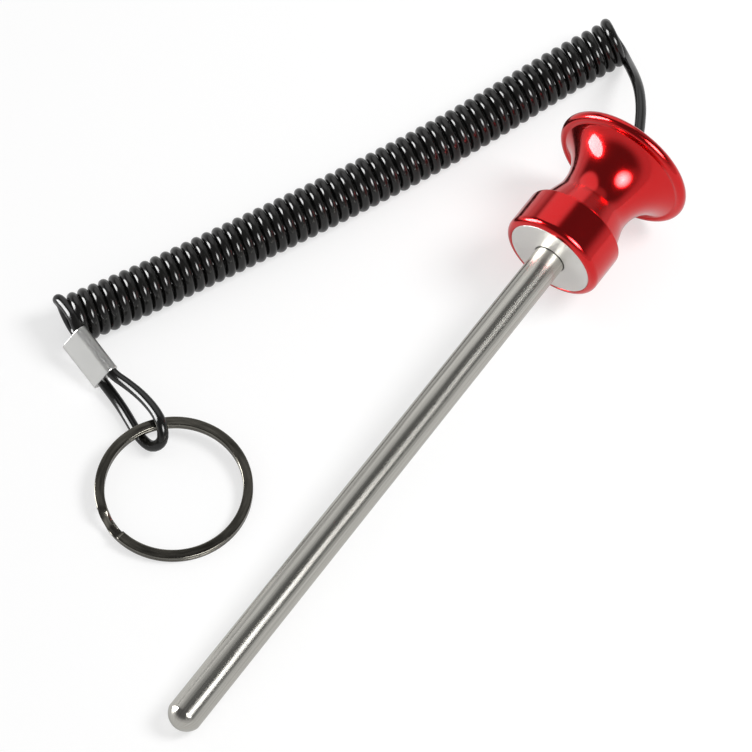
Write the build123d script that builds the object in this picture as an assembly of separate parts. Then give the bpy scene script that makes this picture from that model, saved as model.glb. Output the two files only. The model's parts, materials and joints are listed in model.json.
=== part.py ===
from build123d import *
import os
from math import asin, atan, cos, degrees, hypot, pi, radians, sin, sqrt, tan

# Weight stack pin: a steel pin in a turned knob with a magnetic face, on a curly cord that
# carries a split ring. Millimetres, +Z up, +X from the pin's tip to its knob. The pin lies on
# the rim of its knob and on its tip, and the cord and the ring lie beside it on the same floor.
# The origin is on that floor, under the middle of the pin.

# ---- Driving dimensions ------------------------------------------------------------------

# pin
ROD_DIAMETER = 9.525
ROD_FREE_LENGTH = 170.0        # knob face to the start of the rounded end
ROD_END_DEPTH = 3.6            # depth of the rounded end
NECK_DIAMETER = 9.0            # rod inside the magnet, clear of it
SPIGOT_DIAMETER = 7.9          # turned-down tail that is pressed into the knob
SPIGOT_LENGTH = 17.0
SPIGOT_CHAMFER = 0.5

# knob, measured back from its face
KNOB_LENGTH = 41.2             # face to the top of the crown
HOUSING_DIAMETER = 30.5        # cylinder that holds the magnet
HOUSING_LENGTH = 12.9
HOUSING_BEZEL = 2.0            # rounding of the front edge
HOUSING_EDGE = 0.5             # rounding of the back edge
WAIST_DIAMETER = 22.1
WAIST_PLACE = 23.2             # face to the thinnest place
WAIST_CONE = 17.0              # degrees, slope of the side where it leaves the housing
HOLLOW_FRONT = 12.0            # radius of the hollow before the thinnest place
HOLLOW_BACK = 15.5             # radius of the hollow behind it
RIM_DIAMETER = 42.5
RIM_PLACE = 38.2               # face to the widest place
RIM_ROUND = 1.7                # radius of the beaded rim

# magnet, flush in the face
MAGNET_DIAMETER = 26.1
MAGNET_THICKNESS = 5.0
MAGNET_CHAMFER = 0.2
MAGNET_FIT = 0.05              # glue gap round the magnet
ROD_FIT = 0.15                 # gap between the magnet's hole and the rod

# cord and its stop inside the knob
CORD_DIAMETER = 3.2
CORD_HOLE_FIT = 0.15           # gap round the cord where it leaves the knob
CORD_HOLE_CHAMFER = 0.6
STOP_DIAMETER = 6.8
STOP_LENGTH = 7.0
STOP_FIT = 0.1
STOP_SPACE = 2.0               # free space between the spigot's end and the stop

# curly part of the cord
CURL_DIAMETER = 15.0

# crimped sleeve
FERRULE_WIDTH = 10.2
FERRULE_THICKNESS = 4.25
FERRULE_LENGTH = 15.25
FERRULE_EDGE = 0.3
STRAND_SPACING = 4.4           # centre to centre of its two strands
STRAND_SHIFT = 0.4             # how far the pair lies towards the sleeve's upper edge
STRAND_LEAD = 1.8              # straight cord past the sleeve before a bend
FERRULE_HEADING = 256.2        # degrees, where its ring end points on the floor
FERRULE_SLOPE = 17.7           # degrees, how far its ring end points down
FERRULE_LEAN = 57.7            # degrees, how far its flat side stands up

# split ring: one flat wire wound twice round
RING_INNER_DIAMETER = 38.1
RING_WIRE_WIDTH = 2.7
RING_WIRE_HEIGHT = 1.17
RING_LAYER_GAP = 0.06
RING_WIRE_EDGE = 0.25
RING_STEP = 29.0               # degrees over which the wire drops from one layer to the next
RING_STEP_PLACE = 82.0         # degrees from the cord loop to the drop
RING_HEADING = 61.0            # degrees, from the ring's middle to the cord loop
LOOP_CLEARANCE = 0.35          # between the ring's wire and the strand beneath it

# ---- Worked-out sizes and places ---------------------------------------------------------

rod_r = ROD_DIAMETER / 2
rim_centre_r = RIM_DIAMETER / 2 - RIM_ROUND
cord_r = CORD_DIAMETER / 2

# The pin leans on its tip's edge and on the rim, so the slope follows from the two radii.
reach = ROD_FREE_LENGTH + RIM_PLACE
rise = rim_centre_r - rod_r
PIN_SLOPE = degrees(asin(RIM_ROUND / hypot(reach, rise)) + atan(rise / reach))

ring_mid_r = (RING_INNER_DIAMETER + RING_WIRE_WIDTH) / 2
ring_height = 2 * RING_WIRE_HEIGHT + RING_LAYER_GAP
ring_half_diagonal = hypot(RING_WIRE_WIDTH, ring_height) / 2
hinge_height = CORD_DIAMETER + LOOP_CLEARANCE + ring_half_diagonal
# The ring is held at the loop and rests on the floor at its far side.
RING_SLOPE = degrees(asin((hinge_height - ring_height / 2) / (2 * ring_mid_r + RING_WIRE_WIDTH / 2)))


def unit(heading, slope):
    """Direction that points at a heading on the floor and down by a slope, in degrees."""
    h, s = radians(heading), radians(slope)
    return Vector(cos(h) * cos(s), sin(h) * cos(s), -sin(s))


def arc(centre, radius, start, end):
    """Arc round centre from one angle to another, in degrees, in the XY plane."""
    at = [radians(start + (end - start) * share) for share in (0, 0.5, 1)]
    return ThreePointArc(*[(centre[0] + radius * cos(a), centre[1] + radius * sin(a)) for a in at])


def joined(*edges):
    """Closed face from edges that follow each other."""
    return make_face(list(edges))


def turned(face):
    """Solid turned about the X axis."""
    return revolve(face, Axis.X, 360)


def rod_on_x(radius, start, end):
    """Cylinder along X from start to end."""
    return Plane.YZ.offset(start) * extrude(Circle(radius), end - start)


# ---- Pin, knob and magnet, along X with the knob's face at 0 -----------------------------

def make_rod():
    """Rod with a rounded end, a neck inside the magnet, and a tail whose shoulder seats it."""
    end_r = (rod_r ** 2 + ROD_END_DEPTH ** 2) / (2 * ROD_END_DEPTH)
    tip = -ROD_FREE_LENGTH - ROD_END_DEPTH
    half = degrees(asin(rod_r / end_r))
    rounded = arc((tip + end_r, 0), end_r, 180, 180 - half)
    tail_r = SPIGOT_DIAMETER / 2
    back = MAGNET_THICKNESS + SPIGOT_LENGTH
    rest = Polyline(
        (-ROD_FREE_LENGTH, rod_r), (0, rod_r), (0, NECK_DIAMETER / 2),
        (MAGNET_THICKNESS, NECK_DIAMETER / 2), (MAGNET_THICKNESS, tail_r),
        (back - SPIGOT_CHAMFER, tail_r), (back, tail_r - SPIGOT_CHAMFER), (back, 0), (tip, 0))
    return turned(joined(rounded, rest))


stop_back = MAGNET_THICKNESS + SPIGOT_LENGTH + STOP_SPACE + STOP_LENGTH


def knob_bores():
    """Inner outline of the knob, from the cord's hole at its back to the magnet's pocket."""
    hole_r = cord_r + CORD_HOLE_FIT
    stop_r = STOP_DIAMETER / 2 + STOP_FIT
    pocket_r = MAGNET_DIAMETER / 2 + MAGNET_FIT
    tail_end = MAGNET_THICKNESS + SPIGOT_LENGTH
    return [
        (KNOB_LENGTH - CORD_HOLE_CHAMFER, hole_r), (stop_back, hole_r), (stop_back, stop_r),
        (tail_end, stop_r), (tail_end, SPIGOT_DIAMETER / 2),
        (MAGNET_THICKNESS, SPIGOT_DIAMETER / 2), (MAGNET_THICKNESS, pocket_r),
        (0, pocket_r), (0, HOUSING_DIAMETER / 2 - HOUSING_BEZEL)]


def make_knob():
    """Turned knob: bezel, housing, cone, hollow waist, beaded rim and crown, bored through."""
    house_r = HOUSING_DIAMETER / 2
    front = (WAIST_PLACE, WAIST_DIAMETER / 2 + HOLLOW_FRONT)
    back = (WAIST_PLACE, WAIST_DIAMETER / 2 + HOLLOW_BACK)
    rim = (RIM_PLACE, rim_centre_r)
    # where the cone meets the hollow
    cone_end = (front[0] - HOLLOW_FRONT * sin(radians(WAIST_CONE)),
                front[1] - HOLLOW_FRONT * cos(radians(WAIST_CONE)))
    cone_start = (HOUSING_LENGTH,
                  cone_end[1] + (cone_end[0] - HOUSING_LENGTH) * tan(radians(WAIST_CONE)))
    # where the hollow meets the bead: the nearer crossing of their two circles
    away = hypot(rim[0] - back[0], rim[1] - back[1])
    near = (HOLLOW_BACK ** 2 - RIM_ROUND ** 2 + away ** 2) / (2 * away)
    aside = sqrt(HOLLOW_BACK ** 2 - near ** 2)
    ux, uy = (rim[0] - back[0]) / away, (rim[1] - back[1]) / away
    meet = (back[0] + ux * near + uy * aside, back[1] + uy * near - ux * aside)
    hollow_end = degrees(atan((meet[0] - back[0]) / (back[1] - meet[1])))
    bead_start = 180 + degrees(atan((meet[1] - rim[1]) / (meet[0] - rim[0])))
    # crown: a ball that touches the bead from inside, as far as the flare of the cord's hole
    height = KNOB_LENGTH - RIM_PLACE
    crown_r = (height ** 2 + rim_centre_r ** 2 - RIM_ROUND ** 2) / (2 * (height - RIM_ROUND))
    crown_x = KNOB_LENGTH - crown_r
    crown_edge = degrees(asin(rim_centre_r / (crown_r - RIM_ROUND)))
    bores = knob_bores()
    flare = degrees(asin((bores[0][1] + CORD_HOLE_CHAMFER) / crown_r))
    flare_at = (crown_x + crown_r * cos(radians(flare)), crown_r * sin(radians(flare)))
    return turned(joined(
        arc((HOUSING_BEZEL, house_r - HOUSING_BEZEL), HOUSING_BEZEL, 180, 90),
        Line((HOUSING_BEZEL, house_r), (HOUSING_LENGTH - HOUSING_EDGE, house_r)),
        arc((HOUSING_LENGTH - HOUSING_EDGE, house_r - HOUSING_EDGE), HOUSING_EDGE, 90, 0),
        Line((HOUSING_LENGTH, house_r - HOUSING_EDGE), cone_start),
        Line(cone_start, cone_end),
        arc(front, HOLLOW_FRONT, 270 - WAIST_CONE, 270),
        arc(back, HOLLOW_BACK, 270, 270 + hollow_end),
        arc(rim, RIM_ROUND, bead_start, crown_edge),
        arc((crown_x, 0), crown_r, crown_edge, flare),
        Polyline(flare_at, *bores)))


def make_magnet():
    """Flat ring magnet, its edges broken, flush with the knob's face."""
    outer, inner = MAGNET_DIAMETER / 2, rod_r + ROD_FIT
    c = MAGNET_CHAMFER
    return turned(joined(Polyline(
        (c, inner), (0, inner + c), (0, outer - c), (c, outer),
        (MAGNET_THICKNESS, outer), (MAGNET_THICKNESS, inner), (c, inner))))


def make_stop():
    """Crimp sleeve on the cord's end, against the end of its bore."""
    front = stop_back - STOP_LENGTH
    return rod_on_x(STOP_DIAMETER / 2, front, stop_back) - rod_on_x(cord_r, front - 1, stop_back + 1)


# ---- Where the pin lies ------------------------------------------------------------------

rod, knob, magnet = make_rod(), make_knob(), make_magnet()
lean = Rotation(0, -PIN_SLOPE, 0)
leaning = (lean * Compound([rod, knob])).bounding_box()
middle = -(leaning.min.X + leaning.max.X) / 2
along = unit(0, -PIN_SLOPE)
face_height = rod_r * cos(radians(PIN_SLOPE)) + ROD_FREE_LENGTH * sin(radians(PIN_SLOPE))
face = Vector(middle, 0, face_height)
pin_place = Location((face.X, face.Y, face.Z)) * lean
mouth = face + along * KNOB_LENGTH          # where the cord leaves the knob


def beside(dx, dy, z):
    """Point at a distance along X and Y from the cord's mouth, and at a height over the floor."""
    return Vector(mouth.X + dx, mouth.Y + dy, z)


# ---- Cord --------------------------------------------------------------------------------

curl_r = CURL_DIAMETER / 2
strand_out = unit(FERRULE_HEADING, FERRULE_SLOPE)
flat_side = unit(FERRULE_HEADING - 90, 0)
ferrule_up = -strand_out.cross(flat_side)
strands = (flat_side * -cos(radians(FERRULE_LEAN)) + ferrule_up * sin(radians(FERRULE_LEAN))).normalized()
ferrule_middle = beside(-138.4, 90.4, 6.75)

hinge = beside(-147.2, 63.4, hinge_height)


def strand_mouth(side, end):
    """Middle of one strand (+1 upper, -1 lower) at one end of the sleeve (-1 coil, +1 ring)."""
    across = strands * (side * STRAND_SPACING / 2 + STRAND_SHIFT)
    return ferrule_middle + strand_out * (end * FERRULE_LENGTH / 2) + across


# from the stop inside the knob, out of the knob's back and down into the curls' end
LEAD_ROUTE = [
    face + along * (stop_back - STOP_LENGTH),
    mouth + along * 3.6,
    beside(7.3, 1.5, 21.6),
    beside(14.5, 5.1, 20.0),
    beside(21.3, 8.9, 18.4),
    beside(28.0, 13.6, 16.5),
    beside(33.9, 18.8, 14.1),
    beside(39.2, 24.0, 11.0),
    beside(43.4, 28.2, 7.6),
    beside(45.9, 30.9, 5.2)]

# along the middle of the curls, from the sleeve's end to the knob's end
COIL_ROUTE = [
    beside(-130.2, 102.4, curl_r),
    beside(-114.5, 93.9, curl_r),
    beside(-83.9, 80.4, curl_r),
    beside(-47.8, 65.2, curl_r),
    beside(-9.8, 51.1, curl_r),
    beside(31.5, 38.6, curl_r),
    beside(49.2, 33.1, curl_r)]

# from the curls, through the sleeve, over the ring, back under it and into the sleeve again
LOOP_ROUTE = [
    beside(-129.3, 101.9, CURL_DIAMETER - 1.4 * cord_r),
    beside(-133.0, 101.6, CURL_DIAMETER - 1.3 * cord_r),
    strand_mouth(1, -1) - strand_out * STRAND_LEAD,
    strand_mouth(1, 1) + strand_out * STRAND_LEAD,
    beside(-138.6, 76.3, 6.0),
    beside(-139.7, 70.0, 7.6),
    beside(-142.4, 63.0, 9.5),
    beside(-145.9, 57.2, 10.2),
    beside(-148.7, 54.8, 6.4),
    beside(-150.3, 58.0, 2.2),
    beside(-148.9, 63.8, cord_r),
    beside(-146.3, 69.4, cord_r),
    beside(-143.9, 75.0, cord_r + 0.1),
    strand_mouth(-1, 1) + strand_out * STRAND_LEAD,
    strand_mouth(-1, -1)]

RADIUS_SHARE = 0.45            # of the shorter run at a corner


def bend_radii(points):
    """Radius of each inner corner of a route: as large as its two runs allow."""
    radii = []
    for before, here, after in zip(points, points[1:], points[2:]):
        run_in, run_out = here - before, after - here
        turn = radians(run_in.get_angle(run_out))
        radii.append(RADIUS_SHARE * min(run_in.length, run_out.length) / tan(turn / 2))
    return radii


def make_tube(name, points, diameter):
    """Round tube along straight runs joined by tangent arcs."""
    radii = bend_radii(points)
    path = FilletPolyline(*points, radius=radii)
    start = Plane(origin=points[0], z_dir=points[1] - points[0])
    tube = sweep(start * Circle(diameter / 2), path=path)
    ideal = pi * diameter ** 2 / 4 * path.length
    print(name, "length", round(path.length, 1), "radii", [round(r, 1) for r in radii],
          "volume ratio", round(tube.volume / ideal, 4))
    return tube


# ---- Crimped sleeve ----------------------------------------------------------------------

ferrule_start = ferrule_middle - strand_out * (FERRULE_LENGTH / 2)
ferrule_plane = Plane(origin=ferrule_start, x_dir=strands, z_dir=strand_out)


def make_ferrule():
    """Sleeve pressed flat over two strands, its edges broken."""
    sleeve = extrude(SlotOverall(FERRULE_WIDTH, FERRULE_THICKNESS), FERRULE_LENGTH)
    ends = sleeve.edges().filter_by_position(Axis.Z, -0.01, 0.01)
    ends += sleeve.edges().filter_by_position(Axis.Z, FERRULE_LENGTH - 0.01, FERRULE_LENGTH + 0.01)
    sleeve = fillet(ends, FERRULE_EDGE)
    for side in (-1, 1):
        hole = extrude(Circle(cord_r), FERRULE_LENGTH)
        sleeve -= Pos(side * STRAND_SPACING / 2 + STRAND_SHIFT, 0, 0) * hole
    return ferrule_plane * sleeve


# ---- Split ring --------------------------------------------------------------------------

def wire_section(turn, level):
    """Section of the ring's wire at an angle round the ring and a level: 0 low, 1 high."""
    low = -(RING_WIRE_HEIGHT + RING_LAYER_GAP) / 2
    plane = Plane.XZ * Location((ring_mid_r, low - 2 * low * level, 0))
    return Rotation(0, 0, turn) * plane * RectangleRounded(RING_WIRE_WIDTH, RING_WIRE_HEIGHT, RING_WIRE_EDGE)


def make_ring():
    """Flat wire wound twice: a high turn, a smooth drop, and a low turn under the high one."""
    flat = 360 - RING_STEP
    high = revolve(wire_section(0, 1), Axis.Z, flat)
    low = revolve(wire_section(0, 0), Axis.Z, flat)
    shares = [i / 8 for i in range(9)]
    drop = loft([wire_section(flat + RING_STEP * s, (1 + cos(pi * s)) / 2) for s in shares])
    return high + drop + low


ring_turned = Rotation(0, 0, RING_STEP_PLACE + RING_STEP)
ring_place = (Location((hinge.X, hinge.Y, hinge.Z)) * Rotation(0, 0, RING_HEADING)
              * Rotation(0, -RING_SLOPE, 0) * Location((-ring_mid_r, 0, 0)))


# ---- Parts -------------------------------------------------------------------------------

def save(name, piece):
    """Write one node as its own STEP file."""
    export_step(piece, "parts/" + name + ".step")


os.makedirs("parts", exist_ok=True)
save("pin_rod", pin_place * rod)
save("knob", pin_place * knob)
save("magnet_ring", pin_place * magnet)
save("cord_stop", pin_place * make_stop())
save("cord_lead", make_tube("cord_lead", LEAD_ROUTE, CORD_DIAMETER))
save("cord_coil", make_tube("cord_coil", COIL_ROUTE, CURL_DIAMETER))
save("crimp_ferrule", make_ferrule())
save("cord_loop", make_tube("cord_loop", LOOP_ROUTE, CORD_DIAMETER))
save("split_ring", ring_place * ring_turned * make_ring())

ring_tangent = Vector(-sin(radians(RING_HEADING)), cos(radians(RING_HEADING)), 0)
print("pin slope", round(PIN_SLOPE, 4), "face", face, "along", along, "mouth", mouth)
print("hinge", hinge, "hinge axis", ring_tangent, "ring slope", round(RING_SLOPE, 3))
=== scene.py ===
"""Weight stack pin: knob, rod, magnet, curly cord, crimped sleeve and split ring.

Each piece is a surface worked out from its section or its path and made as whole arrays.
Lengths are in metres. +X runs from the pin's tip to its knob, +Z is up.
"""
import json
import math

import bpy
import numpy as np
from mathutils import Matrix


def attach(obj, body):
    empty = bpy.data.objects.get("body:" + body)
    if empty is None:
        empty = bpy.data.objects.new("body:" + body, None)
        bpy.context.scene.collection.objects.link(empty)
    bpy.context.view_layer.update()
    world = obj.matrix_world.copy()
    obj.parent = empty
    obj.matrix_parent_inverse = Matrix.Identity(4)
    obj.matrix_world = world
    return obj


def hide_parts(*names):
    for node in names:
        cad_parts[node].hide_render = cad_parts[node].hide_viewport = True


bl_info = {
    "name": "Weight Stack Pin",
    "version": (1, 0, 0),
    "blender": (4, 5, 0),
    "location": "View3D > Sidebar > Stack Pin",
    "description": "Makes a magnetic weight stack pin with a curly cord and a split ring",
    "category": "Add Mesh",
}

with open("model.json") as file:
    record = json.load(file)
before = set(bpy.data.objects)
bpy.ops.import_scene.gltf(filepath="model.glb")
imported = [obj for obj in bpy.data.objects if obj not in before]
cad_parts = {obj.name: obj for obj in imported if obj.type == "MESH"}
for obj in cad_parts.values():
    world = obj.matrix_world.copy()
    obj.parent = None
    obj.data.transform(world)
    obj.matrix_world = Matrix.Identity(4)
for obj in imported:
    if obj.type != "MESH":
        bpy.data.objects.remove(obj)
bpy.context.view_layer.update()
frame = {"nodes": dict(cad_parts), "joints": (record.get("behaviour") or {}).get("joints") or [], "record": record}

MM = 0.001
TINY = 1e-7  # metres; points closer than this are one point
MOUNTS = {mount["name"]: mount for mount in frame["record"]["mounts"]}
HINGE = frame["joints"][0]


# ---- Places that follow from the frame ----

def pin_frame():
    """Middle of the knob's face, and the directions along the pin, across it and up from it."""
    rod = MOUNTS["rod"]
    along = -np.array(rod["axis"], float)
    along /= np.linalg.norm(along)
    face = np.array(rod["pos_m"], float) + along * rod["dims"]["length_mm"] * MM / 2
    across = np.array([0.0, 1.0, 0.0])
    return face, along, across, np.cross(along, across)


FACE, ALONG, ACROSS, UP = pin_frame()


# ---- Settings ----

def length(name, text, mm):
    """Size in millimetres, kept in metres."""
    return bpy.props.FloatProperty(name=name, description=text, default=mm * MM, min=0.0,
                                   precision=5, unit="LENGTH")


def angle(name, text, deg):
    """Angle in degrees, kept in radians."""
    return bpy.props.FloatProperty(name=name, description=text, default=math.radians(deg),
                                   subtype="ANGLE", unit="ROTATION")


def colour(name, text, rgb):
    """Colour of a finish."""
    return bpy.props.FloatVectorProperty(name=name, description=text, default=rgb, size=3,
                                         min=0.0, max=1.0, subtype="COLOR")


def number(name, text, value, top=1.0):
    """Plain number from 0 to a top."""
    return bpy.props.FloatProperty(name=name, description=text, default=value, min=0.0, max=top,
                                   subtype="FACTOR")


class StackPinKnob(bpy.types.PropertyGroup):
    """Sizes of the turned knob, its magnet and the rod, measured back from the knob's face."""

    rod_diameter: length("Rod", "Diameter of the rod", 9.525)
    rod_length: length("Rod length", "Knob's face to the start of the rounded end", 170.0)
    rod_end: length("Rod end", "Depth of the rounded end", 3.6)
    neck_diameter: length("Neck", "Diameter of the rod inside the magnet", 9.0)
    tail_diameter: length("Tail", "Diameter of the rod's tail in the knob", 7.9)
    tail_length: length("Tail length", "Length of the tail in the knob", 17.0)
    knob_length: length("Length", "Knob's face to the top of its crown", 41.2)
    housing_diameter: length("Housing", "Diameter of the magnet's housing", 30.5)
    housing_length: length("Housing length", "Face to the step behind the housing", 12.9)
    bezel: length("Bezel", "Rounding of the front edge", 2.0)
    edge: length("Edge", "Rounding of the housing's back edge", 0.5)
    waist_diameter: length("Waist", "Diameter at the thinnest place", 22.1)
    waist_place: length("Waist place", "Face to the thinnest place", 23.2)
    cone: angle("Cone", "Slope of the side behind the housing", 17.0)
    hollow_front: length("Hollow front", "Radius of the hollow before the waist", 12.0)
    hollow_back: length("Hollow back", "Radius of the hollow behind the waist", 15.5)
    rim_diameter: length("Rim", "Diameter at the beaded rim", 42.5)
    rim_place: length("Rim place", "Face to the widest place", 38.2)
    rim_round: length("Rim bead", "Radius of the bead", 1.7)
    magnet_diameter: length("Magnet", "Diameter of the magnet", 26.1)
    magnet_thickness: length("Magnet thickness", "Thickness of the magnet", 5.0)
    magnet_fit: length("Magnet fit", "Gap round the magnet", 0.05)
    rod_fit: length("Rod fit", "Gap between magnet and rod", 0.15)
    stop_bore: length("Stop bore", "Diameter of the bore for the cord's stop", 7.0)
    stop_place: length("Stop place", "Face to the end of the stop's bore", 31.0)
    cord_hole: length("Cord hole", "Diameter of the hole that the cord leaves by", 3.5)
    hole_flare: length("Hole flare", "Chamfer at the mouth of the cord's hole", 0.6)
    red: colour("Knob red", "Colour of the anodised knob", (0.80, 0.007, 0.009))
    steel: colour("Rod steel", "Colour of the rod", (0.60, 0.585, 0.54))
    nickel: colour("Magnet nickel", "Colour of the magnet's plating", (0.80, 0.79, 0.765))


class StackPinCord(bpy.types.PropertyGroup):
    """Sizes of the cord, its curls and its crimped sleeve."""

    diameter: length("Cord", "Diameter of the cord", 3.2)
    curl_radius: length("Curl radius", "Curl's middle to the middle of the cord", 5.9)
    turns: bpy.props.FloatProperty(name="Turns", description="Number of turns in the curls",
                                   default=54.25, min=1.0)
    start_angle: angle("Start angle", "Where the lead joins the first curl", -80.0)
    spread: number("Spread", "How much wider the knob's end is pulled apart", 0.0833, 0.5)
    top_lean: length("Top lean", "How far the curls' tops lean back at the knob's end", 1.7)
    side_lean: length("Side lean", "How far the curls' near sides lean back there", 0.95)
    end_lift: length("End lift", "How far the curl next to the lead is pulled up", 1.3)
    end_tuck: length("End tuck", "How far that curl is tucked back over the next one", 0.8)
    points_per_turn: bpy.props.IntProperty(name="Points per turn", default=16, min=12, max=32,
                                           description="Control points in each curl")
    sleeve_width: length("Sleeve width", "Width of the crimped sleeve", 10.2)
    sleeve_thickness: length("Sleeve thickness", "Thickness of the crimped sleeve", 4.25)
    sleeve_length: length("Sleeve length", "Length of the crimped sleeve", 15.25)
    sleeve_heading: angle("Sleeve heading", "Where its ring end points on the floor", 256.2)
    sleeve_slope: angle("Sleeve slope", "How far its ring end points down", 17.7)
    sleeve_lean: angle("Sleeve lean", "How far its flat side stands up", 57.7)
    strand_spacing: length("Strands", "Centre to centre of the sleeve's two strands", 4.4)
    strand_shift: length("Strand shift", "How far the pair lies to the upper edge", 0.4)
    strand_lead: length("Strand lead", "Straight cord past the sleeve", 1.8)
    black: colour("Cord black", "Colour of the cord", (0.008, 0.008, 0.0075))
    grey: colour("Sleeve grey", "Colour of the sleeve", (0.76, 0.76, 0.74))


class StackPinRing(bpy.types.PropertyGroup):
    """Sizes of the split ring, one flat wire wound twice round."""

    inner_diameter: length("Inner diameter", "Inner diameter of the ring", 38.1)
    wire_width: length("Wire width", "Width of the wire, in the ring's plane", 2.7)
    wire_height: length("Wire height", "Height of the wire, across the ring's plane", 1.17)
    layer_gap: length("Layer gap", "Gap between the two turns", 0.06)
    wire_edge: length("Wire edge", "Rounding of the wire's edges", 0.25)
    step: angle("Step", "Angle over which the wire drops to the lower layer", 29.0)
    step_place: angle("Step place", "Angle from the cord's loop to the step", 82.0)
    step_roll: angle("Step roll", "How far the wire is twisted in the middle of its step", -50.0)
    dark: colour("Ring nickel", "Colour of the dark nickel plating", (0.19, 0.18, 0.155))


class StackPinStudio(bpy.types.PropertyGroup):
    """Sizes of the stage and the strength of its light."""

    floor_size: bpy.props.FloatProperty(name="Floor", description="Width of the floor",
                                        default=6.0, min=1.0, unit="LENGTH")
    lens: bpy.props.FloatProperty(name="Lens", description="Focal length of the camera",
                                  default=123.27, min=10.0, subtype="DISTANCE_CAMERA")
    light: number("Light", "Strength of all the lamps", 1.0, 10.0)
    ambient: number("Ambient", "Soft light from all round", 0.5, 2.0)
    low_room: number("Low room", "Brightness of the room's walls in reflections", 0.56, 2.0)
    high_room: number("High room", "Brightness of the ceiling in reflections", 0.11, 2.0)
    floor_glow: number("Floor glow", "White that the floor adds to its light", 0.62)
    floor_shine: number("Floor shine", "White that the floor adds in reflections", 0.3)
    floor_grey: number("Floor grey", "How much light the floor gives back", 0.4)


GROUPS = {
    "stack_pin_knob": StackPinKnob,
    "stack_pin_cord": StackPinCord,
    "stack_pin_ring": StackPinRing,
    "stack_pin_studio": StackPinStudio,
}


# ---- Sections and surfaces ----

def line(start, end, count):
    """Points on a straight line from start to end, crowded at both ends by a cosine spacing."""
    share = (1 - np.cos(np.linspace(0.0, np.pi, count))) / 2
    return np.outer(1 - share, start) + np.outer(share, end)


def arc(centre, radius, start, end, count):
    """Points round centre: centre plus radius times (cos, sin) from one angle to another."""
    turn = np.radians(np.linspace(start, end, count))
    return np.stack([centre[0] + radius * np.cos(turn), centre[1] + radius * np.sin(turn)], 1)


def rounded(corners, radii, count=5):
    """Closed section: each corner is replaced by an arc of its radius that touches both sides.

    The arc starts radius / tan(half the inner angle) before the corner, and its points are
    the middle of the arc plus radius times a unit vector that turns evenly between the sides.
    """
    corners = np.asarray(corners, float)
    pieces = []
    for before, here, after, radius in zip(np.roll(corners, 1, 0), corners,
                                           np.roll(corners, -1, 0), radii):
        if radius <= 0:
            pieces.append(here[None])
            continue
        back, on = before - here, after - here
        back, on = back / np.linalg.norm(back), on / np.linalg.norm(on)
        half = math.acos(np.clip(back @ on, -1, 1)) / 2
        middle = here + (back + on) / np.linalg.norm(back + on) * radius / math.sin(half)
        first = here + back * radius / math.tan(half) - middle
        last = here + on * radius / math.tan(half) - middle
        share = np.linspace(0, 1, count)[:, None]
        spread = math.acos(np.clip(first @ last / radius ** 2, -1, 1))
        turned = (np.sin((1 - share) * spread) * first + np.sin(share * spread) * last)
        pieces.append(middle + turned / math.sin(spread))
    return np.concatenate(pieces)


def refined(section, reach):
    """Closed section with a point added a short reach from both ends of each long side."""
    after = np.roll(section, -1, 0)
    side = after - section
    size = np.linalg.norm(side, axis=1, keepdims=True)
    reach = np.minimum(reach, size / 4)
    rows = np.stack([section, section + side / size * reach, after - side / size * reach], 1)
    keep = np.stack([np.ones(len(section), bool), size[:, 0] > 3 * reach[:, 0],
                     size[:, 0] > 3 * reach[:, 0]], 1)
    return rows[keep]


def add_mesh(name, points, wrap_rows, wrap_columns, caps=(), uv=None):
    """Mesh of quads over a grid of points, with an end cap where asked.

    points has the shape (rows, columns, 3). A cap is a fan from the middle of the first or
    the last row. uv holds two numbers for each grid corner, one row and column more where
    the grid closes on itself, so that a pattern meets itself without running backwards.
    """
    rows, columns = points.shape[:2]
    index = np.arange(rows * columns).reshape(rows, columns)
    row_index = np.arange(rows if wrap_rows else rows - 1)
    column_index = np.arange(columns if wrap_columns else columns - 1)
    r, c = np.meshgrid(row_index, column_index, indexing="ij")
    r2, c2 = (r + 1) % rows, (c + 1) % columns
    quads = np.stack([index[r, c], index[r, c2], index[r2, c2], index[r2, c]], -1).reshape(-1, 4)
    vertices = points.reshape(-1, 3)
    fans, extra = [], []
    for cap in caps:
        ring = index[cap]
        middle = rows * columns + len(extra)
        extra.append(points[cap].mean(0))
        pair = (np.roll(ring, -1), ring) if cap == 0 else (ring, np.roll(ring, -1))
        fans.append(np.stack([np.full(columns, middle), *pair], 1))
    if extra:
        vertices = np.concatenate([vertices, extra])
    loops = np.concatenate([quads.ravel()] + [fan.ravel() for fan in fans])
    sizes = np.concatenate([np.full(len(quads), 4)] + [np.full(len(fan), 3) for fan in fans])
    mesh = bpy.data.meshes.new(name)
    mesh.vertices.add(len(vertices))
    mesh.vertices.foreach_set("co", vertices.astype(np.float32).ravel())
    mesh.loops.add(len(loops))
    mesh.loops.foreach_set("vertex_index", loops.astype(np.int32))
    mesh.polygons.add(len(sizes))
    starts = np.concatenate([[0], np.cumsum(sizes)[:-1]])
    mesh.polygons.foreach_set("loop_start", starts.astype(np.int32))
    mesh.polygons.foreach_set("loop_total", sizes.astype(np.int32))
    mesh.update(calc_edges=True)
    mesh.polygons.foreach_set("use_smooth", np.ones(len(sizes), bool))
    if uv is not None:
        layer = mesh.uv_layers.new(name="UVMap")
        flat = np.stack([uv[r, c], uv[r, c + 1], uv[r + 1, c + 1], uv[r + 1, c]], -2)
        flat = flat.reshape(-1, 2)
        for cap in caps:
            ends, following = uv[cap, :columns], uv[cap, 1:columns + 1]
            pair = (following, ends) if cap == 0 else (ends, following)
            middle = np.stack([np.full(columns, uv[cap, 0, 0]), ends[:, 1]], 1)
            flat = np.concatenate([flat, np.stack([middle, *pair], 1).reshape(-1, 2)])
        layer.data.foreach_set("uv", flat.astype(np.float32).ravel())
    mesh.validate()
    piece = bpy.data.objects.new(name, mesh)
    bpy.context.scene.collection.objects.link(piece)
    return piece


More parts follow.
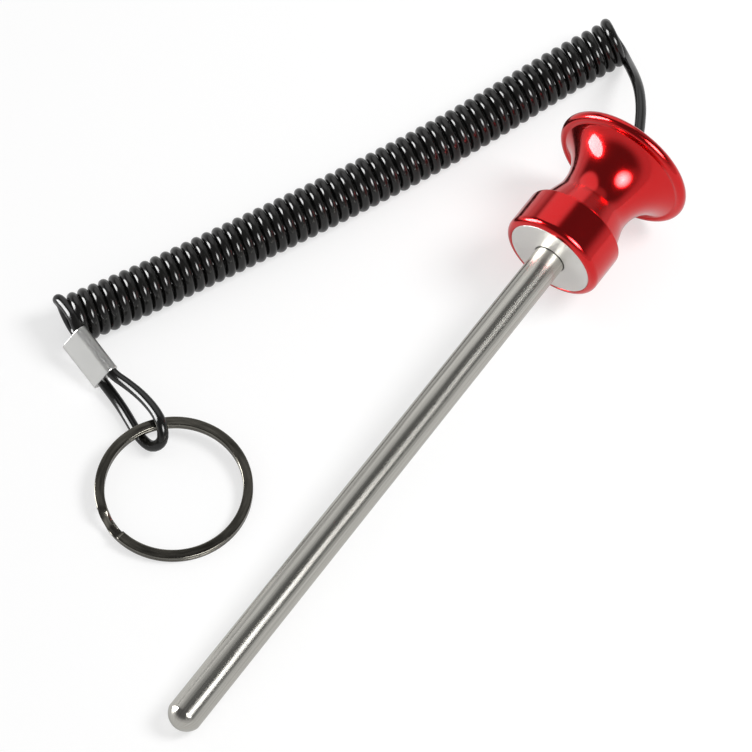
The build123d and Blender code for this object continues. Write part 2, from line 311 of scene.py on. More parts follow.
def lengths(points):
    """Distance along a row of points from its first one."""
    return np.concatenate([[0], np.cumsum(np.linalg.norm(np.diff(points, axis=0), axis=1))])


def turned_piece(name, outline, steps, closed=True):
    """Solid turned about the pin's axis.

    outline has (distance behind the face, radius) rows. A point is the face's middle, plus
    the distance along the axis, plus the radius times (cos t across + sin t up). An outline
    that starts and ends on the axis is closed by a fan at each end. The second number of the
    UV grows by a tenth in one turn.
    """
    turn = np.linspace(0, 2 * np.pi, steps, endpoint=False)
    radial = np.outer(np.cos(turn), ACROSS) + np.outer(np.sin(turn), UP)
    rows = FACE + outline[:, 0, None] * ALONG
    points = rows[:, None] + outline[:, 1, None, None] * radial
    ring = np.concatenate([outline, outline[:1]]) if closed else outline
    run = lengths(ring)
    around = np.linspace(0, 1, steps + 1) * 0.1
    uv = np.stack(np.meshgrid(run, around, indexing="ij"), -1)
    caps = () if closed else (0, -1)
    return add_mesh(name, points, closed, True, caps, uv)


def tube(name, path, section, frames):
    """Section carried along a path: point = path + x times the first + y times the second axis."""
    first, second = frames
    points = (path[:, None] + section[None, :, :1] * first[:, None]
              + section[None, :, 1:] * second[:, None])
    around = lengths(np.concatenate([section, section[:1]]))
    uv = np.stack(np.meshgrid(lengths(path), around, indexing="ij"), -1)
    return add_mesh(name, points, False, True, (0, -1), uv)


def steady_frames(path):
    """Two axes square to a path that turn as little as they can.

    The guess at each point is the tangent crossed with the coordinate axis that it leans on
    least. Each guess is carried to the next point by the turn between the two tangents, and
    the angle by which that misses the next guess is summed along the path and taken off.
    """
    tangent = np.gradient(path, axis=0)
    tangent /= np.linalg.norm(tangent, axis=1, keepdims=True)
    guess = np.cross(tangent, np.eye(3)[np.abs(tangent).argmin(1)])
    guess /= np.linalg.norm(guess, axis=1, keepdims=True)
    here, there, moved = tangent[:-1], tangent[1:], guess[:-1]
    axle = np.cross(here, there)
    cosine = (here * there).sum(1, keepdims=True)
    carried = (moved * cosine + np.cross(axle, moved)
               + axle * (axle * moved).sum(1, keepdims=True) / (1 + cosine))
    miss = np.arctan2((guess[1:] * np.cross(there, carried)).sum(1), (guess[1:] * carried).sum(1))
    back = -np.concatenate([[0], np.cumsum(miss)])[:, None]
    first = np.cos(back) * guess + np.sin(back) * np.cross(tangent, guess)
    return first, np.cross(tangent, first)


# ---- Routes of the cord ----

def smooth_line(name, points, steps):
    """Points of a smooth line through a route: a NURBS spline of order 3 with its ends held."""
    curve = bpy.data.curves.new(name, "CURVE")
    curve.dimensions = "3D"
    curve.resolution_u = steps
    spline = curve.splines.new("NURBS")
    spline.points.add(len(points) - 1)
    rows = np.concatenate([np.asarray(points, float), np.ones((len(points), 1))], 1)
    spline.points.foreach_set("co", rows.astype(np.float32).ravel())
    spline.order_u = 3
    spline.use_endpoint_u = True
    spline.resolution_u = steps
    carrier = bpy.data.objects.new(name, curve)
    bpy.context.scene.collection.objects.link(carrier)
    graph = bpy.context.evaluated_depsgraph_get()
    mesh = bpy.data.meshes.new_from_object(carrier.evaluated_get(graph))
    row = np.zeros(len(mesh.vertices) * 3)
    mesh.vertices.foreach_get("co", row)
    bpy.data.objects.remove(carrier)
    bpy.data.curves.remove(curve)
    bpy.data.meshes.remove(mesh)
    row = row.reshape(-1, 3)
    apart = np.concatenate([[True], np.linalg.norm(np.diff(row, axis=0), axis=1) > TINY])
    return row[apart]


def beside(dx, dy, z):
    """Point beside the cord's mouth and at a height over the floor, from millimetres."""
    mouth = FACE + ALONG * bpy.context.scene.stack_pin_knob.knob_length
    return np.array([mouth[0] + dx * MM, mouth[1] + dy * MM, z * MM])


# In millimetres: the sleeve's middle beside the cord's mouth, the height of the curls' middle,
# the length of cord held in the stop, and the straight cord past the crown.
SLEEVE_PLACE = (-138.4, 90.4, 6.75)
CURL_HEIGHT = 7.5
HELD_CORD, STRAIGHT_CORD = 7.0, 3.6


def sleeve_frame():
    """Middle of the crimped sleeve, its direction to the ring, and its width's direction."""
    cord = bpy.context.scene.stack_pin_cord
    heading, slope, lean = cord.sleeve_heading, cord.sleeve_slope, cord.sleeve_lean
    out = np.array([math.cos(heading) * math.cos(slope), math.sin(heading) * math.cos(slope),
                    -math.sin(slope)])
    flat = np.array([-math.sin(heading), math.cos(heading), 0.0])
    wide = flat * math.cos(lean) + np.cross(out, flat) * math.sin(lean)
    return beside(*SLEEVE_PLACE), out, wide


def strand(side, end, lead=0.0):
    """Middle of one strand (+1 upper, -1 lower) at one end of the sleeve, or past it by a lead."""
    cord = bpy.context.scene.stack_pin_cord
    middle, out, wide = sleeve_frame()
    across = side * cord.strand_spacing / 2 + cord.strand_shift
    return middle + out * end * (cord.sleeve_length / 2 + lead) + wide * across


def lead_route():
    """Route from the stop inside the knob, out of its back and down towards the first curl."""
    knob = bpy.context.scene.stack_pin_knob
    return [
        FACE + ALONG * (knob.stop_place - HELD_CORD * MM),
        FACE + ALONG * (knob.knob_length + STRAIGHT_CORD * MM),
        beside(7.3, 1.5, 21.6), beside(14.5, 5.1, 20.0), beside(21.3, 8.9, 18.4),
        beside(28.0, 13.6, 16.3), beside(33.6, 18.2, 13.2), beside(39.0, 22.7, 9.0),
        beside(43.6, 26.5, 5.0), beside(47.0, 29.6, 2.5)]


def curl_route():
    """Route along the middle of the curls, from the sleeve's end to the knob's end."""
    places = ((-132.3, 102.4), (-114.7, 93.6), (-83.9, 80.4), (-47.8, 65.2), (-9.8, 51.1),
              (31.7, 39.2), (47.8, 32.8))
    return [beside(*place, CURL_HEIGHT) for place in places]


def loop_route():
    """Route from the last curl through the sleeve, over the ring, back under it and in again."""
    lead = bpy.context.scene.stack_pin_cord.strand_lead
    return [
        beside(-130.3, 108.6, 10.9), beside(-130.9, 106.5, 12.4), beside(-132.0, 103.1, 12.6),
        beside(-133.3, 100.0, 12.8), strand(1, -1), strand(1, 1, lead / 4),
        beside(-139.3, 77.0, 6.8), beside(-140.6, 70.0, 8.2), beside(-143.0, 63.2, 9.8),
        beside(-145.5, 58.4, 10.2), beside(-148.2, 56.0, 6.4), beside(-149.9, 59.2, 2.2),
        beside(-148.9, 64.4, 1.6), beside(-146.4, 69.6, 1.6), beside(-143.9, 75.0, 1.7),
        strand(-1, 1, lead), strand(-1, -1)]


def curl_points():
    """Control points of the curls, from the knob's end to the sleeve's end.

    At an angle t round the curls, a point is the axis at its share of the length, plus the
    curl's radius times (cos t away from the viewer's side + sin t up). The radius is widened
    by 1 / cos(pi / points per turn), because the smooth line cuts inside its corners. With u
    the share of turns still to come, the place is u (1 - spread + spread u) of the length. The
    turns lean: a point moves along the axis by side lean cos t - top lean sin t, times its
    share of the length. The first curl is lifted and tucked back by the squared cosine of
    half its angle from the top.
    """
    cord = bpy.context.scene.stack_pin_cord
    axis = smooth_line("curl_route", curl_route(), steps=24)
    run = lengths(axis)
    count = int(round(cord.turns * cord.points_per_turn)) + 1
    share = np.linspace(0, 1, count)
    turn = cord.start_angle + share * cord.turns * 2 * np.pi
    left = 1 - share
    place = run[-1] * left * (1 - cord.spread + cord.spread * left)
    middle = np.stack([np.interp(place, run, axis[:, k]) for k in range(3)], 1)
    slope = np.gradient(axis, run, axis=0)
    ahead = np.stack([np.interp(place, run, slope[:, k]) for k in range(3)], 1)
    far = np.stack([-ahead[:, 1], ahead[:, 0], np.zeros(count)], 1)
    far /= np.linalg.norm(far, axis=1, keepdims=True)
    up = np.array([0.0, 0.0, 1.0])
    radius = cord.curl_radius / math.cos(math.pi / cord.points_per_turn)
    first = np.cos((turn - np.pi / 2) / 2) ** 2 * (np.abs(turn - np.pi / 2) < np.pi)
    lean = (cord.side_lean * np.cos(turn) - cord.top_lean * np.sin(turn)) * place / run[-1]
    out = np.cos(turn)[:, None] * far + np.sin(turn)[:, None] * up
    return (middle + radius * out + (cord.end_lift * first)[:, None] * up
            + (lean - cord.end_tuck * first)[:, None] * ahead)


def sleeve_rows(size):
    """Places along the sleeve, and how far its outline draws in there.

    Each end is rounded by a quarter circle: at a distance d from the end that is less than the
    circle's radius, the outline draws in by the radius less sqrt(radius^2 - (radius - d)^2).
    """
    radius = 0.3 * MM
    ends = np.array([0, 0.04, 0.12, 0.25, 0.4, 0.8]) * MM
    between = np.linspace(2 * ends[-1], size - 2 * ends[-1], 20)
    reach = np.concatenate([ends, between, size - ends[::-1]])
    short = np.maximum(radius - np.minimum(reach, reach[::-1]), 0)
    return reach, radius - np.sqrt(np.maximum(radius ** 2 - short ** 2, 0))


def cord_line():
    """The cord's whole line from its stop to its end: lead, curls and loop as one spline."""
    points = np.concatenate([lead_route(), curl_points(), loop_route()])
    return smooth_line("cord_line", points, steps=4)


# ---- Finishes ----

WHITE = (1.0, 1.0, 1.0, 1.0)


def add_node(tree, kind, inputs=(), **settings):
    """Shader node with its settings; each input gets a constant or a link from an output."""
    node = tree.nodes.new("ShaderNode" + kind)
    for name, value in settings.items():
        setattr(node, name, value)
    for socket, value in dict(inputs).items():
        if isinstance(value, bpy.types.NodeSocket):
            tree.links.new(value, node.inputs[socket])
        else:
            node.inputs[socket].default_value = value
    return node


def worked_out(tree, operation, *values):
    """Result of a Math node on values, each a number or an output."""
    return add_node(tree, "Math", enumerate(values), operation=operation).outputs[0]


def finish(name, rgb, **inputs):
    """Material, its node tree, and its Principled shader with its constant inputs set."""
    material = bpy.data.materials.new(name)
    material.use_nodes = True
    shader = material.node_tree.nodes["Principled BSDF"]
    shader.inputs["Base Color"].default_value = (*rgb, 1.0)
    for socket, value in inputs.items():
        shader.inputs[socket.replace("_", " ").title().replace("Ior", "IOR")].default_value = value
    return material, material.node_tree, shader


def noise(tree, scale, source="Object", detail=3.0):
    """Noise on the piece's own coordinates, with a scale for each axis or one for all."""
    where = add_node(tree, "TexCoord").outputs[source]
    each = scale if isinstance(scale, tuple) else (1, 1, 1)
    whole = 1.0 if isinstance(scale, tuple) else scale
    place = add_node(tree, "Mapping", {"Vector": where, "Scale": each}).outputs[0]
    inputs = {"Vector": place, "Scale": whole, "Detail": detail}
    return add_node(tree, "TexNoise", inputs).outputs["Fac"]


def ranged(tree, value, low, high):
    """Value from 0 to 1 mapped to a range."""
    return add_node(tree, "MapRange", {"Value": value, "To Min": low, "To Max": high}).outputs[0]


def smooth_step(tree, value, start, end, low=0.0, high=1.0):
    """Value that goes smoothly from low to high while another goes from start to end."""
    inputs = {"Value": value, "From Min": start, "From Max": end, "To Min": low, "To Max": high}
    return add_node(tree, "MapRange", inputs, interpolation_type="SMOOTHSTEP").outputs[0]


def roughened(tree, shader, value, low, high):
    """Roughness that follows a value over a range."""
    tree.links.new(ranged(tree, value, low, high), shader.inputs["Roughness"])


def tinted(tree, shader, value, rgb, dark, light):
    """Base colour that goes from a dark share of a colour to a light one with a value."""
    ramp = add_node(tree, "ValToRGB", {"Fac": value})
    for end, share in zip(ramp.color_ramp.elements, (dark, light)):
        end.color = (*[part * share for part in rgb], 1.0)
    tree.links.new(ramp.outputs["Color"], shader.inputs["Base Color"])


def bumped(tree, shader, height, strength, depth):
    """Bump of a depth in metres from a height on the shader's normal."""
    inputs = {"Height": height, "Strength": strength, "Distance": depth}
    tree.links.new(add_node(tree, "Bump", inputs).outputs[0], shader.inputs["Normal"])


def anodised_red():
    """Bright red anodising: a tinted mirror under a clear layer, with faint turning marks."""
    material, tree, shader = finish("anodised_red", bpy.context.scene.stack_pin_knob.red,
                                    metallic=1.0, coat_weight=0.7, coat_roughness=0.06)
    marks = noise(tree, (9000, 6, 1), "UV")
    roughened(tree, shader, marks, 0.12, 0.2)
    bumped(tree, shader, marks, 0.06, 0.02 * MM)
    return material


def ground_steel():
    """Ground steel that spreads light round the rod, with fine lines along it and soft waves.

    The rounded end is more polished: its roughness is a quarter lower.
    """
    rgb = bpy.context.scene.stack_pin_knob.steel
    material, tree, shader = finish("ground_steel", rgb, metallic=1.0, anisotropic=0.75)
    tangent = add_node(tree, "Tangent", direction_type="UV_MAP", uv_map="UVMap")
    tree.links.new(tangent.outputs[0], shader.inputs["Tangent"])
    streaks = noise(tree, (14, 620, 1), "UV")
    where = add_node(tree, "TexCoord").outputs["UV"]
    from_tip = add_node(tree, "SeparateXYZ", {"Vector": where}).outputs["X"]
    polish = smooth_step(tree, from_tip, 4.5 * MM, 7.5 * MM, 0.75)
    rough = worked_out(tree, "MULTIPLY", polish, ranged(tree, streaks, 0.205, 0.235))
    tree.links.new(rough, shader.inputs["Roughness"])
    bumped(tree, shader, noise(tree, (60, 60, 1), "UV", 0.0), 0.5, 0.3 * MM)
    tinted(tree, shader, streaks, rgb, 0.65, 1.3)
    return material


def nickel_plate():
    """Satin nickel on the magnet, with a fine mottled grain."""
    material, tree, shader = finish("nickel_plate", bpy.context.scene.stack_pin_knob.nickel,
                                    metallic=1.0)
    grain = noise(tree, 1400, detail=4.0)
    roughened(tree, shader, grain, 0.42, 0.54)
    bumped(tree, shader, grain, 0.1, 0.03 * MM)
    return material


def cord_jacket():
    """Glossy black jacket of the cord, slightly uneven along its length."""
    material, tree, shader = finish("cord_jacket", bpy.context.scene.stack_pin_cord.black, ior=1.5)
    waves = noise(tree, (700, 500, 1), "UV")
    roughened(tree, shader, waves, 0.1, 0.2)
    bumped(tree, shader, waves, 0.12, 0.1 * MM)
    return material


def pressed_sleeve():
    """Pressed soft metal: satin grey with fine scuffs from the crimping tool."""
    material, tree, shader = finish("pressed_sleeve", bpy.context.scene.stack_pin_cord.grey,
                                    metallic=1.0)
    scuffs = noise(tree, 500, detail=4.0)
    roughened(tree, shader, scuffs, 0.28, 0.36)
    bumped(tree, shader, scuffs, 0.02, 0.04 * MM)
    return material


def dark_nickel():
    """Dark nickel on the ring, with the grain of the wire along its length and worn patches."""
    rgb = bpy.context.scene.stack_pin_ring.dark
    material, tree, shader = finish("dark_nickel", rgb, metallic=1.0)
    grain = noise(tree, (170, 1500, 1), "UV", 5.0)
    worn = ranged(tree, noise(tree, (45, 300, 1), "UV", 2.0), -0.45, 0.45)
    mixed = worked_out(tree, "MULTIPLY_ADD", grain, 0.9, worn)
    tinted(tree, shader, mixed, rgb, 0.25, 1.7)
    roughened(tree, shader, mixed, 0.1, 0.27)
    bumped(tree, shader, grain, 0.25, 0.04 * MM)
    return material


def dress(piece, material, body="root"):
    """Give a piece its finish and the body that it rides on."""
    piece.data.materials.clear()
    piece.data.materials.append(material)
    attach(piece, body)


# ---- Outlines of the turned pieces ----

def knob_outline():
    """Closed outline of the knob: bezel, side and crown, and back through its bores.

    The side is a bezel arc, a straight housing, a small rounded edge, a cone, two arcs that
    make the hollow waist, the bead where the hollow's circle meets the rim's circle, and a
    crown that is part of a large ball touching the bead from inside.
    """
    k = bpy.context.scene.stack_pin_knob
    house, rim_r = k.housing_diameter / 2, k.rim_diameter / 2 - k.rim_round
    waist, cone = k.waist_diameter / 2, k.cone
    front = (k.waist_place, waist + k.hollow_front)
    back = (k.waist_place, waist + k.hollow_back)
    cone_end = (front[0] - k.hollow_front * math.sin(cone),
                front[1] - k.hollow_front * math.cos(cone))
    cone_start_r = cone_end[1] + (cone_end[0] - k.housing_length) * math.tan(cone)
    gap = math.hypot(k.rim_place - back[0], rim_r - back[1])
    near = (k.hollow_back ** 2 - k.rim_round ** 2 + gap ** 2) / (2 * gap)
    aside = math.sqrt(k.hollow_back ** 2 - near ** 2)
    ux, uy = (k.rim_place - back[0]) / gap, (rim_r - back[1]) / gap
    meet = (back[0] + ux * near + uy * aside, back[1] + uy * near - ux * aside)
    hollow_end = math.degrees(math.atan2(meet[1] - back[1], meet[0] - back[0])) % 360
    bead_start = math.degrees(math.atan2(meet[1] - rim_r, meet[0] - k.rim_place)) % 360
    rise = k.knob_length - k.rim_place
    crown = (rise ** 2 + rim_r ** 2 - k.rim_round ** 2) / (2 * (rise - k.rim_round))
    crown_x = k.knob_length - crown
    edge = math.degrees(math.asin(rim_r / (crown - k.rim_round)))
    hole = k.cord_hole / 2
    flare = math.degrees(math.asin((hole + k.hole_flare) / crown))
    step_r, mouth = 0.25 * MM, 0.12 * MM  # rounding of the step's foot and of the pocket's mouth
    pocket = k.magnet_diameter / 2 + k.magnet_fit
    shoulder = (k.housing_length + step_r, cone_start_r - step_r * math.tan(cone) + step_r)
    stop_r = k.stop_bore / 2
    tail_end, tail_r = k.magnet_thickness + k.tail_length, k.tail_diameter / 2
    bores = [
        (k.knob_length - k.hole_flare, hole), (k.stop_place, hole), (k.stop_place, stop_r),
        (tail_end, stop_r), (tail_end, tail_r), (k.magnet_thickness, tail_r),
        (k.magnet_thickness, pocket)]
    return np.concatenate([
        line((0, pocket + mouth), (0, house - k.bezel), 5)[:-1],
        arc((k.bezel, house - k.bezel), k.bezel, 180, 90, 17),
        line((k.bezel, house), (k.housing_length - k.edge, house), 12)[1:-1],
        arc((k.housing_length - k.edge, house - k.edge), k.edge, 90, 0, 9),
        line((k.housing_length, house - k.edge), (k.housing_length, shoulder[1]), 6)[1:-1],
        arc(shoulder, step_r, 180, 270 - math.degrees(cone), 6),
        line((shoulder[0], shoulder[1] - step_r), cone_end, 12)[2:-1],
        arc(front, k.hollow_front, 270 - math.degrees(cone), 270, 14),
        arc(back, k.hollow_back, 270, hollow_end, 40)[1:],
        arc((k.rim_place, rim_r), k.rim_round, bead_start, edge, 30)[1:],
        arc((crown_x, 0), crown, edge, flare, 26)[1:],
        np.array(bores),
        arc((mouth, pocket + mouth), mouth, 270, 180, 4)[:-1]])


def magnet_outline():
    """Closed outline of the ring magnet, its front edges rounded."""
    k = bpy.context.scene.stack_pin_knob
    outer, inner = k.magnet_diameter / 2, k.rod_diameter / 2 + k.rod_fit
    front, back = 0.2 * MM, 0.05 * MM
    corners = [(0, inner), (0, outer), (k.magnet_thickness, outer), (k.magnet_thickness, inner)]
    return refined(rounded(corners, [front, front, back, back]), 0.1 * MM)


def rod_outline():
    """Open outline of the rod from the middle of its rounded end to the middle of its tail's end.

    The end is part of a ball whose radius follows from the rod's radius and the end's depth.
    It stops a little short of the axis, where the fan starts, and of the rod's side, where a
    short line rounds its edge off. The tail's end has a chamfer.
    """
    k = bpy.context.scene.stack_pin_knob
    r, tail = k.rod_diameter / 2, k.tail_diameter / 2
    ball = (r ** 2 + k.rod_end ** 2) / (2 * k.rod_end)
    tip = -k.rod_length - k.rod_end
    half = math.degrees(math.asin(r / ball))
    end, neck = k.magnet_thickness + k.tail_length, k.neck_diameter / 2
    off_axis, off_side, chamfer = 0.8, 1.5, 0.5 * MM
    return np.concatenate([
        arc((tip + ball, 0), ball, 180 - off_axis, 180 - half + off_side, 26),
        line((-k.rod_length + 0.05 * MM, r - 0.008 * MM), (-k.rod_length + 0.5 * MM, r), 4),
        line((-k.rod_length + 0.8 * MM, r), (-0.3 * MM, r), 30),
        line((0, r), (0, neck), 3),
        line((k.magnet_thickness, neck), (k.magnet_thickness, tail), 3),
        line((end - chamfer, tail), (end, tail - chamfer), 2),
        line((end, tail / 2), (end, 0.05 * MM), 3)])


# ---- Ring ----

def ring_frame():
    """Middle of the ring, its direction to the cord's loop, its side and its normal."""
    hinge = np.array(HINGE["pos_m"], float)
    side = np.array(HINGE["axis"], float)
    side /= np.linalg.norm(side)
    mount = MOUNTS["lanyard_ring"]
    middle = np.array(mount["pos_m"], float)
    to_loop = hinge - middle
    to_loop -= side * (side @ to_loop)
    to_loop /= np.linalg.norm(to_loop)
    return middle, to_loop, side, np.cross(to_loop, side)


def ring_line():
    """Line of the ring's wire: radius (cos t, sin t) in its plane, and a height for each turn.

    The height is half the layer pitch on the first turn, falls by a cosine over the step, and
    is minus half the layer pitch on the second turn, which lies under the first.
    """
    r = bpy.context.scene.stack_pin_ring
    pitch = r.wire_height + r.layer_gap
    radius = (r.inner_diameter + r.wire_width) / 2
    flat = 2 * math.pi - r.step
    turn = np.concatenate([np.linspace(0, flat, 150)[:-1], np.linspace(flat, 2 * math.pi, 34)[:-1],
                           np.linspace(2 * math.pi, 2 * math.pi + flat, 150)])
    share = np.clip((turn - flat) / r.step, 0, 1)
    height = pitch / 2 * np.cos(math.pi * share)
    middle, to_loop, side, normal = ring_frame()
    around = turn + r.step_place + r.step
    out = np.outer(np.cos(around), to_loop) + np.outer(np.sin(around), side)
    roll = r.step_roll * np.sin(math.pi * share) ** 2
    first = out * np.cos(roll)[:, None] + normal * np.sin(roll)[:, None]
    second = normal * np.cos(roll)[:, None] - out * np.sin(roll)[:, None]
    return middle + radius * out + height[:, None] * normal, first, second


# ---- Stage ----

# Each row: name, the point it hangs over, azimuth and elevation in degrees, distance, size in
# metres, brightness, spread in degrees, and whether the lamp is the key, which lights what is
# matt, or is seen in the shiny surfaces alone.
LAMPS = [
    ("lamp_near", (0.09, 0.0, 0.03), -109.0, 48.0, 1.15, (0.80, 0.84), 19.0, 42.0, False),
    ("lamp_far", (0.03, 0.04, 0.01), 117.0, 18.0, 1.2, (0.54, 1.15), 14.0, 180.0, False),
    ("key", (0.03, 0.04, 0.01), -58.0, 50.0, 1.2, (0.5, 0.5), 12.0, 180.0, True),
]
# Soft light patches on the room's walls, seen in reflections. Each row: azimuth, elevation,
# inner and outer angle in degrees, and brightness.
GLOWS = [
    (38.0, 40.0, 20.0, 31.0, 0.85),
    (-9.0, 40.0, 6.0, 26.0, 0.35),
    (-122.0, 18.0, 12.0, 34.0, 0.25),
]
WALL_TOP, CEILING = 0.1, 0.48  # sine of the elevation where the walls end and the ceiling starts
# Where the camera stands in metres, and what lies to its right and behind it.
CAMERA_PLACE = (-0.31606, -0.21488, 0.60877)
CAMERA_RIGHT = (0.58549, -0.81068, 0.0)
CAMERA_BACK = (-0.45090, -0.32565, 0.83107)
MIRRORED = ("Is Glossy Ray", "Is Transmission Ray")
SEEN = ("Is Camera Ray",)


def towards(azimuth, elevation):
    """Direction of unit length at an azimuth and an elevation in degrees."""
    az, el = math.radians(azimuth), math.radians(elevation)
    return np.array([math.cos(az) * math.cos(el), math.sin(az) * math.cos(el), math.sin(el)])


def placed(thing, place, right, back):
    """Put a lamp or camera at a place, looking away from back, with right to its right."""
    right = np.array(right) / np.linalg.norm(right)
    back = back - right * (right @ back)
    back /= np.linalg.norm(back)
    turn = Matrix(np.stack([right, np.cross(back, right), back], 1).tolist()).to_4x4()
    thing.matrix_world = Matrix.Translation(place) @ turn
    bpy.context.scene.collection.objects.link(thing)


def add_lamp(name, over, azimuth, elevation, distance, size, radiance, spread, key):
    """Oval lamp that hangs over a point and shines at it.

    Its power is pi times its area times its brightness, divided by tan h / (tan h - h), where
    h is half its spread, because a narrow spread gathers the light.
    """
    data = bpy.data.lights.new(name, "AREA")
    data.shape = "ELLIPSE"
    data.size, data.size_y = size
    data.spread = math.radians(spread)
    half = data.spread / 2
    focus = math.tan(half) / (math.tan(half) - half) if spread < 180 else 1.0
    strength = radiance * bpy.context.scene.stack_pin_studio.light
    data.energy = math.pi * size[0] * size[1] * strength / focus
    lamp = bpy.data.objects.new(name, data)
    lamp.visible_camera = False
    lamp.visible_diffuse, lamp.visible_glossy = key, not key
    back = towards(azimuth, elevation)
    placed(lamp, np.array(over) + distance * back, np.cross([0.0, 0.0, 1.0], back), back)


def seen_rays(tree, kinds):
    """Value that is 1 for rays of any of the kinds."""
    rays = add_node(tree, "LightPath").outputs
    value = rays[kinds[0]]
    for kind in kinds[1:]:
        value = worked_out(tree, "MAXIMUM", value, rays[kind])
    return value


def studio_world():
    """Room: white where it is seen, pale low down and dark overhead in reflections, soft light."""
    studio = bpy.context.scene.stack_pin_studio
    world = bpy.data.worlds.new("studio")
    world.use_nodes = True
    tree = world.node_tree
    tree.nodes.clear()
    where = add_node(tree, "TexCoord").outputs["Generated"]
    height = add_node(tree, "SeparateXYZ", {"Vector": where}).outputs["Z"]
    room = smooth_step(tree, height, WALL_TOP, CEILING, studio.low_room, studio.high_room)
    for azimuth, elevation, inner, outer, radiance in GLOWS:
        near = add_node(tree, "VectorMath", {0: where, 1: towards(azimuth, elevation)},
                        operation="DOT_PRODUCT").outputs["Value"]
        glow = smooth_step(tree, near, math.cos(math.radians(outer)),
                           math.cos(math.radians(inner)), 0.0, radiance)
        room = worked_out(tree, "MAXIMUM", room, glow)
    surface, mirrored, seen = [
        add_node(tree, "Background", {"Color": WHITE, "Strength": strength}).outputs[0]
        for strength in (studio.ambient, room, 1.0)]
    for kinds, shade in ((MIRRORED, mirrored), (SEEN, seen)):
        inputs = {0: seen_rays(tree, kinds), 1: surface, 2: shade}
        surface = add_node(tree, "MixShader", inputs).outputs[0]
    add_node(tree, "OutputWorld", {"Surface": surface})
    return world


def pale_floor():
    """Matt grey that gives a white of its own where it is seen, and less of it in reflections."""
    studio = bpy.context.scene.stack_pin_studio
    material = bpy.data.materials.new("pale_floor")
    material.use_nodes = True
    tree = material.node_tree
    tree.nodes.clear()
    mirrored = worked_out(tree, "MULTIPLY", seen_rays(tree, MIRRORED), studio.floor_shine)
    amount = worked_out(tree, "MULTIPLY_ADD", seen_rays(tree, SEEN), studio.floor_glow, mirrored)
    grey = (*[studio.floor_grey] * 3, 1.0)
    both = add_node(tree, "AddShader", {
        0: add_node(tree, "BsdfDiffuse", {"Color": grey}).outputs[0],
        1: add_node(tree, "Emission", {"Color": WHITE, "Strength": amount}).outputs[0]})
    add_node(tree, "OutputMaterial", {"Surface": both.outputs[0]})
    return material


# ---- Operators ----

class StackPinOperator:
    """What the operators share."""

    bl_options = {"REGISTER", "UNDO"}


class STACKPIN_OT_camera(StackPinOperator, bpy.types.Operator):
    """Set up the camera on the pin, from above its tip"""

    bl_idname = "stackpin.camera"
    bl_label = "Camera"

    def execute(self, context):
        data = bpy.data.cameras.new("camera")
        data.lens = context.scene.stack_pin_studio.lens
        data.sensor_width = 36.0
        data.clip_start, data.clip_end = 0.05, 20.0
        camera = bpy.data.objects.new("camera", data)
        placed(camera, CAMERA_PLACE, CAMERA_RIGHT, CAMERA_BACK)
        context.scene.camera = camera
        return {"FINISHED"}


class STACKPIN_OT_cord(StackPinOperator, bpy.types.Operator):
    """Make the cord: lead, curls and loop as one tube along one smooth line"""

    bl_idname = "stackpin.cord"
    bl_label = "Curly cord"

    def execute(self, context):
        cord = context.scene.stack_pin_cord
        path = cord_line()
        turn = np.linspace(0, 2 * np.pi, 20, endpoint=False)
        section = cord.diameter / 2 * np.stack([np.cos(turn), np.sin(turn)], 1)
        piece = tube("curly_cord", path, section, steady_frames(path))
        dress(piece, cord_jacket())
        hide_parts("cord_lead", "cord_coil", "cord_loop")
        return {"FINISHED"}


class STACKPIN_OT_sleeve(StackPinOperator, bpy.types.Operator):
    """Make the crimped sleeve that closes the cord's loop"""

    bl_idname = "stackpin.sleeve"
    bl_label = "Crimped sleeve"

    def execute(self, context):
        cord = context.scene.stack_pin_cord
        middle, out, wide = sleeve_frame()
        thick = np.cross(out, wide)
        r, half = cord.sleeve_thickness / 2, cord.sleeve_width / 2
        section = refined(np.concatenate([arc((half - r, 0), r, -90, 90, 25),
                                          arc((-half + r, 0), r, 90, 270, 25)]), 0.2 * MM)
        reach, inset = sleeve_rows(cord.sleeve_length)
        outwards = section / np.linalg.norm(section, axis=1, keepdims=True)
        rows = middle - out * cord.sleeve_length / 2 + np.outer(reach, out)
        shape = section[None] - inset[:, None, None] * outwards[None]
        points = rows[:, None] + shape[..., :1] * wide + shape[..., 1:] * thick
        around = lengths(np.concatenate([section, section[:1]]))
        uv = np.stack(np.meshgrid(reach, around, indexing="ij"), -1)
        piece = add_mesh("sleeve", points, False, True, (0, -1), uv)
        dress(piece, pressed_sleeve())
        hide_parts("crimp_ferrule")
        return {"FINISHED"}


class STACKPIN_OT_ring(StackPinOperator, bpy.types.Operator):
    """Make the split ring, one flat wire wound twice round"""

    bl_idname = "stackpin.ring"
    bl_label = "Split ring"

    def execute(self, context):
        r = context.scene.stack_pin_ring
        w, h = r.wire_width / 2, r.wire_height / 2
        section = rounded([(w, -h), (w, h), (-w, h), (-w, -h)], [r.wire_edge] * 4, 6)
        path, *frames = ring_line()
        piece = tube("ring_wire", path, refined(section, 0.1 * MM)[::-1], frames)
        dress(piece, dark_nickel(), "ring")
        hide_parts("split_ring")
        return {"FINISHED"}


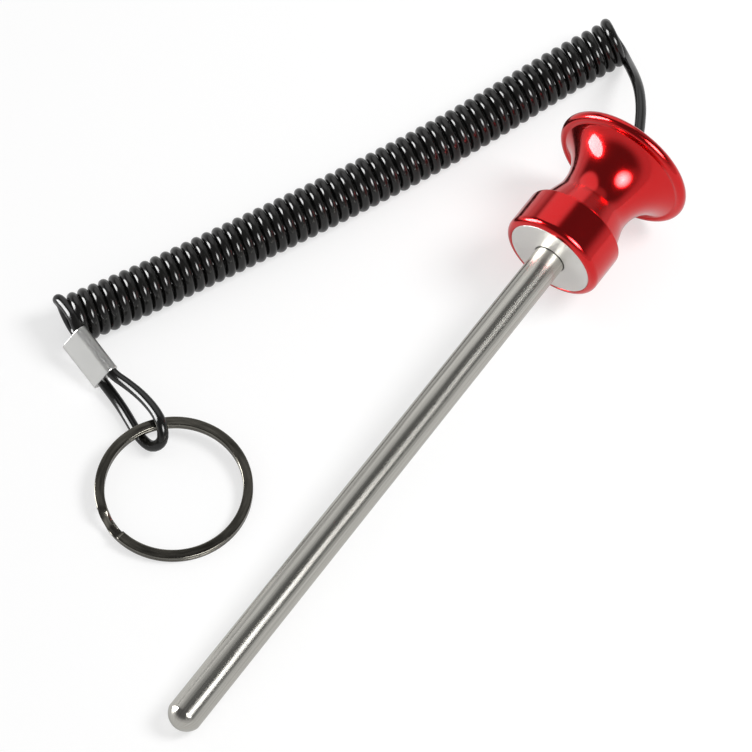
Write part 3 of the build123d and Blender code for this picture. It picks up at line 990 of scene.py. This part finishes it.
class STACKPIN_OT_pin(StackPinOperator, bpy.types.Operator):
    """Make the rod, the knob and its ring magnet, all turned about one axis"""

    bl_idname = "stackpin.pin"
    bl_label = "Rod, knob and magnet"

    def execute(self, context):
        rod = turned_piece("rod", rod_outline(), steps=96, closed=False)
        dress(rod, ground_steel())
        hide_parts("pin_rod")
        knob = turned_piece("turned_knob", knob_outline(), steps=200)
        dress(knob, anodised_red())
        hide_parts("knob")
        magnet = turned_piece("magnet", magnet_outline(), steps=128)
        dress(magnet, nickel_plate())
        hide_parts("magnet_ring")
        stop = frame["nodes"]["cord_stop"]
        stop = bpy.data.objects[stop] if isinstance(stop, str) else stop
        stop.data.materials.clear()
        stop.data.materials.append(pressed_sleeve())
        return {"FINISHED"}


class STACKPIN_OT_stage(StackPinOperator, bpy.types.Operator):
    """Set up the pale floor and the soft studio light"""

    bl_idname = "stackpin.stage"
    bl_label = "Stage"

    def execute(self, context):
        half = context.scene.stack_pin_studio.floor_size / 2
        near, far = [[[-half, y, 0], [half, y, 0]] for y in (-half, half)]
        floor = add_mesh("floor", np.array([near, far]), False, False)
        floor.data.materials.append(pale_floor())
        context.scene.world = studio_world()
        for row in LAMPS:
            add_lamp(*row)
        return {"FINISHED"}


# ---- Panel and registration ----

STEPS = (STACKPIN_OT_camera, STACKPIN_OT_sleeve, STACKPIN_OT_ring, STACKPIN_OT_cord,
         STACKPIN_OT_pin, STACKPIN_OT_stage)


class STACKPIN_PT_panel(bpy.types.Panel):
    """Lists the sizes and the steps that make the pin"""

    bl_idname = "STACKPIN_PT_panel"
    bl_label = "Weight Stack Pin"
    bl_space_type = "VIEW_3D"
    bl_region_type = "UI"
    bl_category = "Stack Pin"

    def draw(self, context):
        for group, kind in GROUPS.items():
            box = self.layout.box()
            box.label(text=kind.__doc__.splitlines()[0])
            for name in kind.__annotations__:
                box.prop(getattr(context.scene, group), name)
        for step in STEPS:
            self.layout.operator(step.bl_idname)


def register():
    """Register the settings, the operators and the panel."""
    for kind in (*GROUPS.values(), *STEPS, STACKPIN_PT_panel):
        bpy.utils.register_class(kind)
    for name, kind in GROUPS.items():
        setattr(bpy.types.Scene, name, bpy.props.PointerProperty(type=kind))


def unregister():
    """Undo register, in the opposite order."""
    for name in reversed(GROUPS):
        delattr(bpy.types.Scene, name)
    for kind in reversed((*GROUPS.values(), *STEPS, STACKPIN_PT_panel)):
        bpy.utils.unregister_class(kind)


def main():
    """Make the whole part."""
    register()
    bpy.context.scene.view_settings.view_transform = "Standard"
    for step in ("camera", "sleeve", "ring", "cord", "pin", "stage"):
        getattr(bpy.ops.stackpin, step)()


if __name__ == "__main__":
    main()
